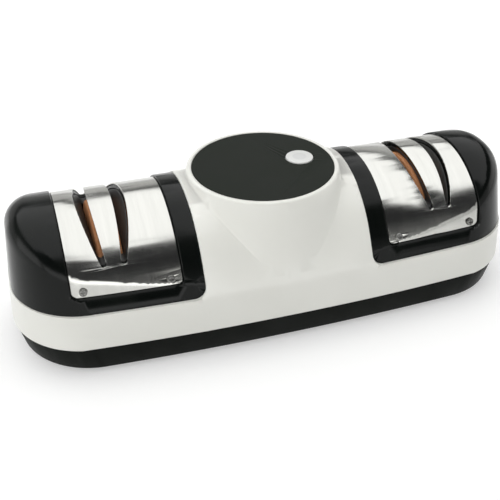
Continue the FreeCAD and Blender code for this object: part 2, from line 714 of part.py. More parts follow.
def blade_guide():
    roof = module_form(ROOF_INSET + FIT_GAP)
    reach = SLOT_LAP + GUIDE_CHEEK
    corners = [slot_edge(side, z, 1, reach)
               for side, z in ((-1, GUIDE_FLANGE_Z), (-1, SKY_Z), (1, SKY_Z), (1, GUIDE_FLANGE_Z))]
    cheeks = slab_y(Part.makePolygon(corners + corners[:1]))
    cheeks = cheeks.common(block(0, FAR, -GUIDE_LENGTH, GUIDE_LENGTH, 0, SKY_Z))
    flange = block(SLOT_CENTRE_X - GUIDE_WIDTH / 2, SLOT_CENTRE_X + GUIDE_WIDTH / 2,
                   -GUIDE_LENGTH, GUIDE_LENGTH, GUIDE_FLANGE_Z, GUIDE_FLANGE_Z + GUIDE_FLANGE)
    body = cheeks.fuse(flange).common(roof)
    half = WHEEL_WIDTH / 2 + CHAMBER_GAP
    cuts = slots(SLOT_LAP)
    cuts.append(rod_x(WHEEL_R + CHAMBER_GAP, SLOT_CENTRE_X - half, SLOT_CENTRE_X + half))
    cuts.append(rod_x(HUB_FLANGE_R + 1, 0, FAR))
    for x, y in guide_post_places():
        cuts.append(rod_z(SCREW_R + PART_GAP, 0, SKY_Z, x, y))
    for cutter in cuts:
        body = body.cut(cutter)
    return body


# Top disc and button
def top_disc():
    disc = rod_z(DISC_R, DISC_SEAT_Z, TURRET_TOP_Z, 0, 0)
    return disc.cut(rod_z(BUTTON_R + FIT_GAP, 0, SKY_Z, BUTTON_X, BUTTON_Y))


def board_screw_places():
    dx = BOARD_LENGTH / 2 - BOARD_SCREW_INSET
    dy = BOARD_WIDTH / 2 - BOARD_SCREW_INSET
    return four_places(dx, dy, (BUTTON_X, BUTTON_Y))


def power_button():
    cap = rod_z(BUTTON_R, FLANGE_Z, TURRET_TOP_Z + BUTTON_PROUD, BUTTON_X, BUTTON_Y)
    rim = [edge for edge in cap.Edges if edge.BoundBox.ZMin > TURRET_TOP_Z]
    cap = cap.makeFillet(BUTTON_EDGE_R, rim)
    flange = rod_z(BUTTON_FLANGE_R, FLANGE_Z, FLANGE_TOP_Z, BUTTON_X, BUTTON_Y)
    stem = rod_z(BUTTON_STEM_R, PLUNGER_TOP_Z, FLANGE_Z, BUTTON_X, BUTTON_Y)
    return cap.multiFuse([flange, stem]).removeSplitter()


def arc_from(start, heading, end):
    # Round arc that leaves start along heading and ends at end.
    chord = end - start
    along = point(*chord).normalize()
    bulge = heading - along * heading.dot(along)
    bulge.normalize()
    sagitta = chord.Length / 2 * math.tan(heading.getAngle(chord) / 2)
    return Part.Arc(start, (start + end) * 0.5 + bulge * sagitta, end).toShape()


def coil_path(r, pitch, turns):
    # Screw line made of pairs of arcs, one pair to each quarter turn.
    edges = []
    count = round(4 * turns)

    def at(i):
        turn = math.pi / 2 * i
        place = point(r * math.cos(turn), r * math.sin(turn), pitch * i / 4)
        heading = point(-r * math.sin(turn), r * math.cos(turn), pitch / 2 / math.pi)
        return place, heading.normalize()

    for i in range(count):
        start, out = at(i)
        end, back = at(i + 1)
        chord = end - start
        both = chord.dot(out + back)
        spread = 2 * (1 - out.dot(back))
        reach = (math.sqrt(both ** 2 + spread * chord.dot(chord)) - both) / spread
        middle = (start + end + (out - back) * reach) * 0.5
        edges.append(arc_from(start, out, middle))
        turned_back = arc_from(end, back * -1, middle)
        edges.append(turned_back)
    return Part.Wire(edges)


def button_spring():
    pitch = (SPRING_LENGTH - SPRING_WIRE - 2 * SPRING_GAP) / SPRING_TURNS
    ring = Part.Wire(Part.makeCircle(SPRING_WIRE / 2, point(SPRING_R, 0, 0), point(0, 1, 0)))
    coil = coil_path(SPRING_R, pitch, SPRING_TURNS).makePipeShell([ring], True, False)
    coil.translate(point(BUTTON_X, BUTTON_Y, SWITCH_TOP_Z + SPRING_WIRE / 2 + SPRING_GAP))
    print("button spring: gap between turns", round(pitch - SPRING_WIRE, 2), "mm")
    return coil


def switch_plunger():
    return rod_z(PLUNGER_R, PLUNGER_Z, PLUNGER_TOP_Z, BUTTON_X, BUTTON_Y)


def switch_body():
    x0 = BUTTON_X - SWITCH_SIZE / 2
    y0 = BUTTON_Y - SWITCH_SIZE / 2
    body = block(x0, x0 + SWITCH_SIZE, y0, y0 + SWITCH_SIZE, BOARD_TOP_Z, SWITCH_TOP_Z)
    low = PLUNGER_Z - BUTTON_TRAVEL - FIT_GAP
    return body.cut(rod_z(PLUNGER_R + RUN_GAP, low, SWITCH_TOP_Z + 1, BUTTON_X, BUTTON_Y))


def switch_board():
    board = block(BUTTON_X - BOARD_LENGTH / 2, BUTTON_X + BOARD_LENGTH / 2,
                  BUTTON_Y - BOARD_WIDTH / 2, BUTTON_Y + BOARD_WIDTH / 2,
                  BOARD_TOP_Z - BOARD_THICK, BOARD_TOP_Z)
    for x, y in board_screw_places():
        board = board.cut(rod_z(BOARD_SCREW_R + PART_GAP, 0, SKY_Z, x, y))
    return board


def switch_screws():
    seat = BOARD_TOP_Z - BOARD_THICK
    screws = []
    for x, y in board_screw_places():
        head = rod_z(BOARD_SCREW_HEAD_R, seat - BOARD_SCREW_HEAD, seat, x, y)
        shank = rod_z(BOARD_SCREW_R, seat, BOARD_TOP_Z + BOARD_SCREW_LENGTH, x, y)
        screws.append(head.fuse(shank))
    return Part.makeCompound(screws)


# Grinding stages
def wheel(side):
    x = side * SLOT_CENTRE_X
    body = rod_x(WHEEL_R, x - WHEEL_WIDTH / 2, x + WHEEL_WIDTH / 2)
    rims = [edge for edge in body.Edges if isinstance(edge.Curve, Part.Circle)]
    body = body.makeChamfer(WHEEL_EDGE, rims)
    return body.cut(rod_x(HUB_R, x - WHEEL_WIDTH, x + WHEEL_WIDTH))


def wheel_hub():
    x0 = SLOT_CENTRE_X - WHEEL_WIDTH / 2
    x1 = SLOT_CENTRE_X + WHEEL_WIDTH / 2
    hub = rod_x(HUB_FLANGE_R, x0 - HUB_FLANGE, x0).fuse(rod_x(HUB_R, x0, x1))
    return hub.cut(rod_x(SHAFT_R, x0 - HUB_FLANGE - 1, x1 + 1))


def wheel_washer():
    x = SLOT_CENTRE_X + WHEEL_WIDTH / 2
    return rod_x(HUB_FLANGE_R, x, x + HUB_FLANGE).cut(rod_x(SHAFT_R, x - 1, x + HUB_FLANGE + 1))


def wheel_nut():
    x = SLOT_CENTRE_X + WHEEL_WIDTH / 2 + HUB_FLANGE
    r = NUT_SIZE / 2 / math.cos(math.pi / 6)
    corners = []
    for i in range(7):
        turn = math.radians(60 * i)
        corners.append(point(x, r * math.cos(turn), AXIS_Z + r * math.sin(turn)))
    hexagon = Part.Face(Part.makePolygon(corners)).extrude(point(NUT_THICK, 0, 0))
    return hexagon.cut(rod_x(SHAFT_R, x - 1, x + NUT_THICK + 1))


def both_ends(shape):
    return Part.makeCompound([mirror_x(shape), shape])


def end_bush():
    x0 = BUSH_CENTRE_X - BUSH_LENGTH / 2
    x1 = BUSH_CENTRE_X + BUSH_LENGTH / 2
    return rod_x(BUSH_R, x0, x1).cut(rod_x(SHAFT_R + RUN_GAP, x0 - 1, x1 + 1))


def bush_cap():
    x0 = BUSH_CENTRE_X - BUSH_LENGTH / 2
    x1 = BUSH_CENTRE_X + BUSH_LENGTH / 2
    body = rod_x(BUSH_R + WALL, x0, x1).common(block(x0, x1, -DEPTH, DEPTH, AXIS_Z, SKY_Z))
    ears = block(x0, x1, -PILLAR_HALF, PILLAR_HALF, AXIS_Z, AXIS_Z + WALL)
    body = body.fuse(ears).cut(rod_x(BUSH_R, x0 - 1, x1 + 1))
    for x, y in cap_screw_places():
        body = body.cut(rod_z(SCREW_R + PART_GAP, 0, SKY_Z, x, y))
        body = body.cut(rod_z(SCREW_HEAD_R + PART_GAP, AXIS_Z + WALL, SKY_Z, x, y))
    return body


def screw_down(x, y, seat, length):
    # Pan head screw pointing down, its head resting at the height of its seat.
    return rod_z(SCREW_HEAD_R, seat, seat + SCREW_HEAD, x, y).fuse(rod_z(SCREW_R, seat - length, seat, x, y))


def screw_up(x, y, seat, length):
    return rod_z(SCREW_HEAD_R, seat - SCREW_HEAD, seat, x, y).fuse(rod_z(SCREW_R, seat, seat + length, x, y))


# Motor
def motor_can():
    return rod_x(CAN_R, -CAN_HALF, CAN_HALF).cut(rod_x(MAGNET_R, -FAR, FAR))


def motor_bell():
    body = rod_x(CAN_R, CAN_HALF, BELL_END).fuse(rod_x(BELL_BOSS_R, BELL_END, BOSS_END))
    body = body.cut(rod_x(MOTOR_BUSH_R, CAN_HALF - 1, BOSS_END + 1))
    middle = (BELL_BOSS_R + MAGNET_R) / 2
    for i in range(BELL_VENTS):
        turn = math.radians(360 / BELL_VENTS * i)
        y = middle * math.cos(turn)
        z = AXIS_Z + middle * math.sin(turn)
        body = body.cut(rod_x(BELL_VENT_R, CAN_HALF - 1, BELL_END + 1, y, z))
    return body


def motor_bush():
    return rod_x(MOTOR_BUSH_R, CAN_HALF, BOSS_END).cut(rod_x(SHAFT_R + RUN_GAP, 0, FAR))


def motor_magnets():
    x0 = CORE_CENTRE_X - MAGNET_LENGTH / 2
    x1 = CORE_CENTRE_X + MAGNET_LENGTH / 2
    magnets = []
    for start in (90 - MAGNET_SPAN_DEG / 2, 270 - MAGNET_SPAN_DEG / 2):
        arc = Part.makeCylinder(MAGNET_R, x1 - x0, point(x0, 0, AXIS_Z), point(1, 0, 0), MAGNET_SPAN_DEG)
        arc = arc.cut(rod_x(MAGNET_R - MAGNET_THICK, x0 - 1, x1 + 1))
        magnets.append(turned(arc, start, point(0, 0, AXIS_Z), point(1, 0, 0)))
    return Part.makeCompound(magnets)


def armature_core():
    x0 = CORE_CENTRE_X - CORE_LENGTH / 2
    core = rod_x(CORE_R, x0, CORE_END).cut(rod_x(SHAFT_R, x0 - 1, CORE_END + 1))
    slot = block(x0 - 1, CORE_END + 1, CORE_R - CORE_SLOT_DEPTH, CORE_R + 1,
                 AXIS_Z - CORE_SLOT_W / 2, AXIS_Z + CORE_SLOT_W / 2)
    return core.cut(Part.makeCompound(around_axis(slot, CORE_SLOTS)))


def armature_winding():
    coils = []
    outer = CORE_R - AIR_GAP
    for x0 in (CORE_CENTRE_X - CORE_LENGTH / 2 - WINDING_LENGTH, CORE_END):
        coil = rod_x(outer, x0, x0 + WINDING_LENGTH)
        rims = [edge for edge in coil.Edges if isinstance(edge.Curve, Part.Circle)]
        coil = coil.makeFillet(WINDING_LENGTH / 2 - 0.3, rims)
        coils.append(coil.cut(rod_x(SHAFT_R, x0 - 1, x0 + WINDING_LENGTH + 1)))
    return Part.makeCompound(coils)


def commutator():
    x1 = COMMUTATOR_X + COMMUTATOR_LENGTH
    body = rod_x(COMMUTATOR_R, COMMUTATOR_X, x1).cut(rod_x(SHAFT_R, COMMUTATOR_X - 1, x1 + 1))
    groove = block(COMMUTATOR_X - 1, x1 + 1, COMMUTATOR_R - BAR_DEPTH, COMMUTATOR_R + 1,
                   AXIS_Z - BAR_GAP / 2, AXIS_Z + BAR_GAP / 2)
    return body.cut(Part.makeCompound(around_axis(groove, COMMUTATOR_BARS)))


def brush(side):
    half = BRUSH_W / 2
    y1 = COMMUTATOR_R + BRUSH_LENGTH
    body = block(BRUSH_X - half, BRUSH_X + half, SHAFT_R, y1, AXIS_Z - half, AXIS_Z + half)
    body = body.cut(rod_x(COMMUTATOR_R + RUN_GAP, COMMUTATOR_X - 1, CAN_HALF))
    return body if side > 0 else mirror_y(body)


def brush_holder(side):
    half = BRUSH_W / 2
    wall = half + HOLDER_WALL
    y0 = COMMUTATOR_R + 2
    y1 = COMMUTATOR_R + BRUSH_LENGTH + HOLDER_WALL
    body = block(BRUSH_X - wall, CAN_HALF, y0, y1, AXIS_Z - wall, AXIS_Z + wall)
    inside = block(BRUSH_X - half, BRUSH_X + half, y0 - 1, y1 - HOLDER_WALL, AXIS_Z - half, AXIS_Z + half)
    body = body.cut(inside)
    return body if side > 0 else mirror_y(body)


def motor_shaft():
    shaft = rod_x(SHAFT_R, -SHAFT_LENGTH / 2, SHAFT_LENGTH / 2)
    ends = [edge for edge in shaft.Edges if isinstance(edge.Curve, Part.Circle)]
    return shaft.makeChamfer(0.5, ends)


def cooling_fan():
    hub = rod_x(BUSH_R, FAN_X, FAN_X + FAN_LENGTH)
    chord = FAN_LENGTH * 0.9
    root = (SHAFT_R + BUSH_R) / 2
    blade = Part.makeBox(chord, FAN_R - root, FAN_BLADE, point(-chord / 2, root, -FAN_BLADE / 2))
    blade.rotate(point(0, 0, 0), point(0, 1, 0), FAN_PITCH_DEG)
    blade.translate(point(FAN_X + FAN_LENGTH / 2, 0, AXIS_Z))
    return hub.multiFuse(around_axis(blade, FAN_BLADES)).cut(rod_x(SHAFT_R, 0, FAR))


def motor_ring():
    return rod_x(STRAP_R, SADDLE_X - SADDLE_W / 2, SADDLE_X + SADDLE_W / 2).cut(rod_x(CAN_R, -FAR, FAR))


def motor_strap():
    x0 = SADDLE_X - SADDLE_W / 2
    x1 = SADDLE_X + SADDLE_W / 2
    body = rod_x(STRAP_R + STRAP_THICK, x0, x1).common(block(x0, x1, -DEPTH, DEPTH, AXIS_Z, SKY_Z))
    body = body.fuse(block(x0, x1, -SADDLE_HALF, SADDLE_HALF, AXIS_Z, AXIS_Z + STRAP_THICK))
    body = body.cut(rod_x(STRAP_R, -FAR, FAR))
    for place in strap_screw_places():
        body = body.cut(rod_z(SCREW_R + PART_GAP, 0, SKY_Z, *place))
    return body


# Cord entry and leads
def cord_gland():
    y1 = DEPTH / 2 - 0.2
    flange = rod_y(GLAND_FLANGE_R, y1 - 2 * GLAND_FLANGE, y1, 0, GLAND_Z).cut(base_outer())
    body = rod_y(GLAND_R, GLAND_INNER_Y, y1, 0, GLAND_Z)
    return flange.fuse(body).cut(rod_y(GLAND_BORE_R, 0, DEPTH, 0, GLAND_Z)).removeSplitter()


def terminal_block():
    y0 = TERMINAL_Y - TERMINAL_WIDTH / 2
    body = block(TERMINAL_X - TERMINAL_LENGTH / 2, TERMINAL_X + TERMINAL_LENGTH / 2,
                 y0, y0 + TERMINAL_WIDTH, FLOOR_Z, FLOOR_Z + TERMINAL_HEIGHT)
    for side in (-1, 1):
        x = TERMINAL_X + side * TERMINAL_PITCH / 2
        body = body.cut(rod_y(LEAD_R, TERMINAL_Y + 1, DEPTH, x, FLOOR_Z + TERMINAL_HEIGHT / 2))
    return body


def rounded_path(points):
    # Straight runs joined by tangent arcs.
    edges = []
    start = points[0]
    for before, corner, after in zip(points, points[1:], points[2:]):
        u = (before - corner).normalize()
        v = (after - corner).normalize()
        half_turn = (math.pi - u.getAngle(v)) / 2
        cut = LEAD_BEND_R * math.tan(half_turn)
        a = corner + u * cut
        b = corner + v * cut
        bisector = (u + v).normalize()
        centre = corner + bisector * (LEAD_BEND_R / math.cos(half_turn))
        middle = centre - bisector * LEAD_BEND_R
        edges.append(Part.makeLine(start, a))
        edges.append(Part.Arc(a, middle, b).toShape())
        start = b
    edges.append(Part.makeLine(start, points[-1]))
    return Part.Wire(edges)


def lead(points):
    heading = points[1] - points[0]
    ring = Part.Wire(Part.makeCircle(LEAD_R, points[0], heading))
    return rounded_path(points).makePipeShell([ring], True, False)


def leads():
    board_z = BOARD_TOP_Z - BOARD_THICK / 2
    back_y = BUTTON_Y + BOARD_WIDTH / 2
    front_y = BUTTON_Y - BOARD_WIDTH / 2
    bend_z = AXIS_Z + CAN_R * 0.7
    tubes = []
    for side in (-1, 1):
        x = TERMINAL_X + side * TERMINAL_PITCH / 2
        tubes.append(lead([
            point(x, TERMINAL_Y, FLOOR_Z + TERMINAL_HEIGHT),
            point(x, TERMINAL_Y, bend_z),
            point(x, back_y + LEAD_RUN, board_z),
            point(x, back_y, board_z),
        ]))
    x0 = BUTTON_X + BOARD_LENGTH / 4
    x1 = BELL_END + LEAD_RUN
    for edge_y, side in ((front_y, -1), (back_y, 1)):
        y = side * (CAN_R + MAGNET_R) / 2
        tubes.append(lead([
            point(x0, edge_y, board_z),
            point(x0, edge_y + side * LEAD_RUN, board_z),
            point(x1, y, bend_z),
            point(x1, y, AXIS_Z),
            point(BELL_END, y, AXIS_Z),
        ]))
    return Part.makeCompound(tubes)


def rubber_foot(x, y):
    pad = rod_z(FOOT_R, 0.0, BASE_Z, x, y)
    low = [edge for edge in pad.Edges if edge.BoundBox.ZMax < 0.01]
    pad = pad.makeFillet(0.4, low)
    return pad.fuse(rod_z(FOOT_PEG_R, BASE_Z, BASE_Z + FOOT_PEG - PART_GAP, x, y))


def base_screws():
    return Part.makeCompound([screw_up(x, y, SCREW_SEAT_Z, SCREW_LENGTH)
                              for x, y in module_post_places() + centre_post_places()])


def guide_screws():
    seat = GUIDE_FLANGE_Z + GUIDE_FLANGE
    return Part.makeCompound([screw_down(x, y, seat, SCREW_LENGTH - 2) for x, y in guide_post_places()])


def bush_cap_screws():
    seat = AXIS_Z + WALL
    return Part.makeCompound([screw_down(x, y, seat, SCREW_LENGTH / 2) for x, y in cap_screw_places()])


def strap_screws():
    seat = AXIS_Z + STRAP_THICK
    return Part.makeCompound([screw_down(x, y, seat, SCREW_LENGTH - 2) for x, y in strap_screw_places()])


def guard_plate_screws():
    stage = [plate_screw(place, normal) for place, normal in plate_screw_places()]
    return Part.makeCompound(stage + [mirror_x(screw) for screw in stage])


def assembly():
    module = module_shell()
    plate = guard_plate()
    guide = blade_guide()
    return {
        "base_shell": base_shell(),
        "centre_shell": centre_shell(),
        "left_module_shell": mirror_x(module),
        "right_module_shell": module,
        "left_guard_plate": mirror_x(plate),
        "right_guard_plate": plate,
        "guard_plate_screws": guard_plate_screws(),
        "left_blade_guide": mirror_x(guide),
        "right_blade_guide": guide,
        "guide_screws": guide_screws(),
        "top_disc": top_disc(),
        "power_button": power_button(),
        "button_spring": button_spring(),
        "switch_plunger": switch_plunger(),
        "switch_body": switch_body(),
        "switch_board": switch_board(),
        "switch_screws": switch_screws(),
        "motor_can": motor_can(),
        "motor_end_bells": both_ends(motor_bell()),
        "motor_bushes": both_ends(motor_bush()),
        "motor_magnets": motor_magnets(),
        "carbon_brushes": Part.makeCompound([brush(-1), brush(1)]),
        "brush_holders": Part.makeCompound([brush_holder(-1), brush_holder(1)]),
        "motor_rings": both_ends(motor_ring()),
        "motor_straps": both_ends(motor_strap()),
        "strap_screws": strap_screws(),
        "motor_shaft": motor_shaft(),
        "armature_core": armature_core(),
        "armature_winding": armature_winding(),
        "commutator": commutator(),
        "cooling_fan": cooling_fan(),
        "coarse_wheel": wheel(-1),
        "fine_wheel": wheel(1),
        "wheel_hubs": both_ends(wheel_hub()),
        "wheel_washers": both_ends(wheel_washer()),
        "wheel_nuts": both_ends(wheel_nut()),
        "end_bushes": both_ends(end_bush()),
        "bush_caps": both_ends(bush_cap()),
        "bush_cap_screws": bush_cap_screws(),
        "cord_gland": cord_gland(),
        "terminal_block": terminal_block(),
        "leads": leads(),
        "rubber_feet": Part.makeCompound([rubber_foot(x, y) for x, y in foot_places()]),
        "base_screws": base_screws(),
    }


def main():
    os.makedirs("parts", exist_ok=True)
    for name, shape in assembly().items():
        shape.exportStep("parts/" + name + ".step")
        solids = shape.Solids
        print(name, "solids", len(solids), "valid", all(solid.isValid() for solid in solids),
              "volume", round(sum(solid.Volume for solid in solids), 1))


main()
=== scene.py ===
import json
import math

import bpy
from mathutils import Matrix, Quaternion, Vector


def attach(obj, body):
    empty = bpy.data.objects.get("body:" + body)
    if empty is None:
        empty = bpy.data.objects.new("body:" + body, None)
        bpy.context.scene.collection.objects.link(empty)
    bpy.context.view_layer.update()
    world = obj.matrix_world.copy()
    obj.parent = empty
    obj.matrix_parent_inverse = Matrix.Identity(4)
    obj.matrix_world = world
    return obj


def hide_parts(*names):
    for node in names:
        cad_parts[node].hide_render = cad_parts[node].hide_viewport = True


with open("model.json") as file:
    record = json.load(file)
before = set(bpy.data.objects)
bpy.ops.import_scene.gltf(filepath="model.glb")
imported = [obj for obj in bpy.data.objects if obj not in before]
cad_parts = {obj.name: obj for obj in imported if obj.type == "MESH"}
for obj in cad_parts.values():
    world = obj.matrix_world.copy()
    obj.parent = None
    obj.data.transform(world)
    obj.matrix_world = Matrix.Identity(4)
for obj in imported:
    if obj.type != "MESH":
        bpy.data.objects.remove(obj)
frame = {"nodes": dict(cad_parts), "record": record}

solids = frame["nodes"]
rides_on = {}
for body, members in frame["record"]["behaviour"]["bodies"].items():
    for member in members:
        rides_on[member] = body
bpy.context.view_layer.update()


# The photographer's view: from above the front left corner of the table, at arm's length, with a
# short telephoto lens. The camera leans a third of a degree to the right.
CAMERA_PLACE = Vector((-0.1070, -0.3224, 0.2500))
CAMERA_AIM = Vector((-0.0062, 0.0, 0.0221))
CAMERA_LEAN = math.radians(-0.292)

bpy.ops.object.select_all(action="DESELECT")
bpy.ops.object.camera_add(location=CAMERA_PLACE)
camera = bpy.context.object
camera.name = "photographer"
camera.data.sensor_width = 36.0
camera.data.lens = 61.57
camera.rotation_mode = "QUATERNION"
aim = (CAMERA_AIM - CAMERA_PLACE).to_track_quat("-Z", "Y")
camera.rotation_quaternion = aim @ Quaternion((0, 0, 1), CAMERA_LEAN)
bpy.context.scene.camera = camera
bpy.context.scene.view_settings.view_transform = "Standard"


# The table: a sheet of white card that runs past every edge of the picture. It is seen as paper
# white by the lens and in polished metal, and it keeps the shadow of the sharpener.
class Wire:
    """An output socket of a shader node, so that shader maths can be written as plain sums."""

    def __init__(self, socket):
        self.socket = socket

    def node(self, kind, settings, values, out=0):
        tree = self.socket.id_data
        made = tree.nodes.new(kind)
        for name, value in settings.items():
            setattr(made, name, value)
        for name, value in values.items():
            if isinstance(value, Wire):
                tree.links.new(value.socket, made.inputs[name])
            else:
                made.inputs[name].default_value = value
        return Wire(made.outputs[out])

    def maths(self, operation, a, b):
        return self.node("ShaderNodeMath", {"operation": operation}, {0: a, 1: b})

    def __add__(self, other):
        return self.maths("ADD", self, other)

    def __radd__(self, other):
        return self.maths("ADD", other, self)

    def __sub__(self, other):
        return self.maths("SUBTRACT", self, other)

    def __rsub__(self, other):
        return self.maths("SUBTRACT", other, self)

    def __mul__(self, other):
        return self.maths("MULTIPLY", self, other)

    def __rmul__(self, other):
        return self.maths("MULTIPLY", other, self)

    def larger(self, other):
        return self.maths("MAXIMUM", self, other)

    def stretched(self, x, y, z):
        """Coordinates multiplied by a factor on each axis."""
        return self.node("ShaderNodeVectorMath", {"operation": "MULTIPLY"}, {0: self, 1: (x, y, z)})

    def noise(self, scale, detail=2.0):
        return self.node("ShaderNodeTexNoise", {}, {"Vector": self, "Scale": scale, "Detail": detail})

    def step(self, low, high):
        """A soft step from 0 at low to 1 at high."""
        return self.node("ShaderNodeMapRange", {"interpolation_type": "SMOOTHSTEP"},
                         {"Value": self, "From Min": low, "From Max": high})

    def mix(self, at_zero, at_one):
        """A colour between two, by this mask."""
        return self.node("ShaderNodeMix", {"data_type": "RGBA"}, {0: self, 6: at_zero, 7: at_one}, 2)

    def bump(self, height):
        return self.node("ShaderNodeBump", {}, {"Height": self, "Distance": height, "Strength": 1.0})


def finish(name, fixed):
    """A new material, with its even values set, and the place on the surface in metres."""
    material = bpy.data.materials.new(name)
    material.use_nodes = True
    tree = material.node_tree
    for socket, value in fixed.items():
        tree.nodes["Principled BSDF"].inputs[socket].default_value = value
    return material, Wire(tree.nodes.new("ShaderNodeTexCoord").outputs["Object"])


def drive(material, wires):
    """Lets wires change a material over its surface."""
    shader = material.node_tree.nodes["Principled BSDF"]
    for socket, wire in wires.items():
        material.node_tree.links.new(wire.socket, shader.inputs[socket])


TABLE_HALF = 3.0

bpy.ops.mesh.primitive_plane_add(size=2 * TABLE_HALF, location=(0, 0, 0))
table = bpy.context.object
table.name = "table_card"
card, place = finish("white_card", {"Roughness": 0.9, "Emission Strength": 1.0})
light_path = card.node_tree.nodes.new("ShaderNodeLightPath")
seen = Wire(light_path.outputs["Is Camera Ray"]).larger(Wire(light_path.outputs["Is Glossy Ray"]))
seen = seen.larger(Wire(light_path.outputs["Is Transmission Ray"]))
fibres = place.noise(900.0, 3.0)
drive(card, {
    "Base Color": fibres.mix((0.66, 0.66, 0.655, 1), (0.70, 0.70, 0.695, 1)),
    "Emission Color": seen.mix((0, 0, 0, 1), (0.42, 0.42, 0.42, 1)),
    "Normal": fibres.bump(0.00004),
})
table.data.materials.append(card)


# The studio: a long soft box over the table, a low card in front of it and pale walls that reach up
# to a dark ceiling. The dark between walls and box draws the band over the polished steel.
def soft_box(name, place, aim, width, height, watts):
    bpy.ops.object.light_add(type="AREA", location=place)
    lamp = bpy.context.object
    lamp.name = name
    lamp.data.shape = "RECTANGLE"
    lamp.data.size = width
    lamp.data.size_y = height
    lamp.data.energy = watts
    lamp.rotation_mode = "QUATERNION"
    lamp.rotation_quaternion = (Vector(aim) - Vector(place)).to_track_quat("-Z", "Y")


soft_box("overhead_box", (-0.05, 0.48, 0.95), (-0.05, 0.48, 0), 1.9, 1.9, 18.5)
soft_box("front_card", (-0.30, -1.25, 0.20), (0, 0, 0.03), 2.2, 0.45, 4.6)
soft_box("left_card", (-1.25, -0.20, 0.35), (0, 0, 0.03), 1.0, 0.6, 3.0)
soft_box("right_card", (1.25, 0.10, 0.30), (0, 0, 0.03), 1.0, 0.5, 1.2)

WALL_TOP = (0.30, 0.42)
WALL_PALE = (0.62, 0.62, 0.61, 1)
CEILING_DARK = (0.018, 0.019, 0.020, 1)

room = bpy.data.worlds.new("studio_room")
room.use_nodes = True
bpy.context.scene.world = room
direction = Wire(room.node_tree.nodes.new("ShaderNodeTexCoord").outputs["Generated"])
height = direction.node("ShaderNodeSeparateXYZ", {}, {"Vector": direction}, 2)
walls = height.step(*WALL_TOP).mix(WALL_PALE, CEILING_DARK)
room.node_tree.links.new(walls.socket, room.node_tree.nodes["Background"].inputs["Color"])


# The base tray: black plastic moulded with a fine spark-eroded grain, which the feet, the screw
# wells and all the works stand on. Its skirt shows below the white body.
WELD = 0.00002
FLAT_TURN = math.radians(0.5)
SHARP_TURN = math.radians(24.0)
EDGE_STEPS = 2
HALF_TO_MM = 500.0


def moulding(name, solid, edge, sound=None, flat=False):
    """A welded copy of a solid with its sharp edges rounded, shown in place of the solid.

    Where sound is given, only edges for whose middle, in millimetres, it is true are rounded.
    The faces of a flat one are joined first. Points that the rounding throws past the depth of
    the solid are brought back to that depth, which does not put them back on its surface."""
    bpy.ops.object.select_all(action="DESELECT")
    piece = bpy.data.objects.new(name, solids[solid].data.copy())
    bpy.context.scene.collection.objects.link(piece)
    piece.select_set(True)
    bpy.context.view_layer.objects.active = piece
    bpy.ops.object.mode_set(mode="EDIT")
    bpy.ops.mesh.select_all(action="SELECT")
    bpy.ops.mesh.remove_doubles(threshold=WELD)
    if flat:
        bpy.ops.mesh.dissolve_limited(angle_limit=FLAT_TURN)
    bpy.ops.mesh.select_all(action="DESELECT")
    bpy.ops.mesh.select_mode(type="EDGE")
    bpy.ops.mesh.edges_select_sharp(sharpness=SHARP_TURN)
    bpy.ops.object.mode_set(mode="OBJECT")
    mesh = piece.data
    rounded = mesh.attributes.new("bevel_weight_edge", "FLOAT", "EDGE")
    for number, line in enumerate(mesh.edges):
        middle = sum((mesh.vertices[end].co for end in line.vertices), Vector()) * HALF_TO_MM
        if line.select and (sound is None or sound(middle)):
            rounded.data[number].value = 1.0
    bevel = piece.modifiers.new("rounded edges", "BEVEL")
    bevel.width = edge
    bevel.segments = EDGE_STEPS
    bevel.limit_method = "WEIGHT"
    bevel.use_clamp_overlap = False
    bevel.harden_normals = True
    bpy.ops.object.modifier_apply(modifier=bevel.name)
    deepest = max(vertex.co.y for vertex in solids[solid].data.vertices)
    for vertex in mesh.vertices:
        vertex.co.y = max(-deepest, min(deepest, vertex.co.y))
    bpy.ops.object.shade_smooth_by_angle(angle=SHARP_TURN)
    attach(piece, rides_on[solid])
    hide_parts(solid)
    return piece


def dress(material, *names):
    """Puts a finish on pieces of the scene or on solids that stay as they are."""
    for name in names:
        piece = bpy.data.objects.get(name)
        if piece.material_slots:
            for slot in piece.material_slots:
                slot.material = material
        else:
            piece.data.materials.append(material)


def moulded(name, dark, pale, shine, dull, grain, depth, fixed=None):
    """Moulded plastic: an etched grain, and colour and gloss that are a little uneven."""
    material, place = finish(name, fixed or {})
    patches = place.noise(38.0, 3.0).step(0.3, 0.7)
    etched = place.noise(1 / grain, 2.0)
    drive(material, {
        "Base Color": (patches * 0.6 + etched.step(0.3, 0.7) * 0.4).mix(dark, pale),
        "Roughness": patches * (dull - shine) + shine,
        "Normal": etched.bump(depth),
    })
    return material


moulding("base_tray", "base_shell", 0.0003, lambda mm: mm.z < 24)
base_black = moulded("base_black", (0.0035, 0.0045, 0.0035, 1), (0.0070, 0.0085, 0.0070, 1),
                     0.36, 0.5, 0.00045, 0.00003, {"Specular IOR Level": 0.08})
dress(base_black, "base_tray")


# The feet: four soft rubber buttons pressed into wells of the tray, and the screws that close the
# housing from below.
moulding("feet", "rubber_feet", 0.0002)
moulding("closing_screws", "base_screws", 0.0001)
rubber = moulded("foot_rubber", (0.018, 0.018, 0.018, 1), (0.032, 0.031, 0.030, 1),
                 0.75, 0.9, 0.0006, 0.00004)
dress(rubber, "feet", "motor_rings")


